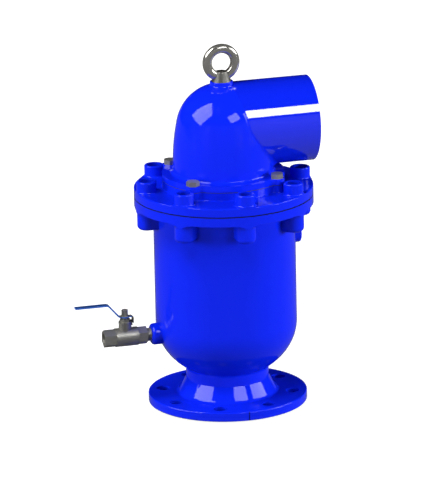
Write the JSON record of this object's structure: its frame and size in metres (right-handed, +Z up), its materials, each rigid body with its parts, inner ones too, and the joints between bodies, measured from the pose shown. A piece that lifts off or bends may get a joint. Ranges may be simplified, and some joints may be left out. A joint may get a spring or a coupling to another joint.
{
  "type": "air release valve",
  "caption": "Flanged blue air release valve with a domed side outlet elbow, lifting eye, inner float and disc, and a lever ball valve as drain.",
  "frame": {"origin": "centre of the inlet flange's raised face, on the axis of the inlet bore", "axes": "+Z up along the body's axis, +X the way the outlet spout points, -X the drain valve's side"},
  "size_m": [0.3393, 0.2474, 0.5108],
  "materials": {
    "blue_epoxy": "glossy saturated blue fusion bonded epoxy on a ductile iron casting",
    "stainless": "plain stainless steel, as turned or forged",
    "black_rubber": "matt black EPDM",
    "white_seal": "white PTFE",
    "blue_sleeve": "dipped blue vinyl",
    "brass": "turned brass"
  },
  "bodies": {
    "housing": {"body_casting": "blue_epoxy", "cover": "blue_epoxy", "cover_o_ring": "black_rubber", "cover_screws": "stainless", "outlet_elbow": "blue_epoxy", "elbow_gasket": "black_rubber", "elbow_bolts": "stainless", "lifting_eye_bolt": "stainless", "orifice_seal": "black_rubber", "seat_retainer": "stainless", "retainer_screws": "stainless", "guide_rods": "stainless", "guide_rod_nuts": "stainless", "float_support": "stainless", "rear_port_plug": "stainless", "drain_nipple": "stainless", "drain_valve_body": "stainless", "drain_valve_end_cap": "stainless", "ball_seats": "white_seal", "stem_packing": "white_seal", "gland_nut": "stainless"},
    "closing_disc": {"kinetic_disc": "stainless", "nozzle": "brass", "hanger_screws": "stainless"},
    "float": {"float_upper_shell": "stainless", "float_lower_shell": "stainless", "float_hanger_plate": "stainless", "nozzle_seal": "black_rubber"},
    "drain_handle": {"drain_ball": "stainless", "drain_stem": "stainless", "drain_lever": "stainless", "lever_sleeve": "blue_sleeve", "lever_nut": "stainless"}
  },
  "joints": [
    {"name": "disc_slide", "type": "slide", "parent": "housing", "child": "closing_disc", "axis": [0, 0, 1], "range_m": [0, 0.028]},
    {"name": "float_slide", "type": "slide", "parent": "closing_disc", "child": "float", "axis": [0, 0, 1], "range_m": [0, 0.008]},
    {"name": "drain_lever_turn", "type": "hinge", "parent": "housing", "child": "drain_handle", "pos_m": [-0.145, 0, 0.1067], "axis": [0, 0, 1], "range_deg": [-90, 0]}
  ]
}
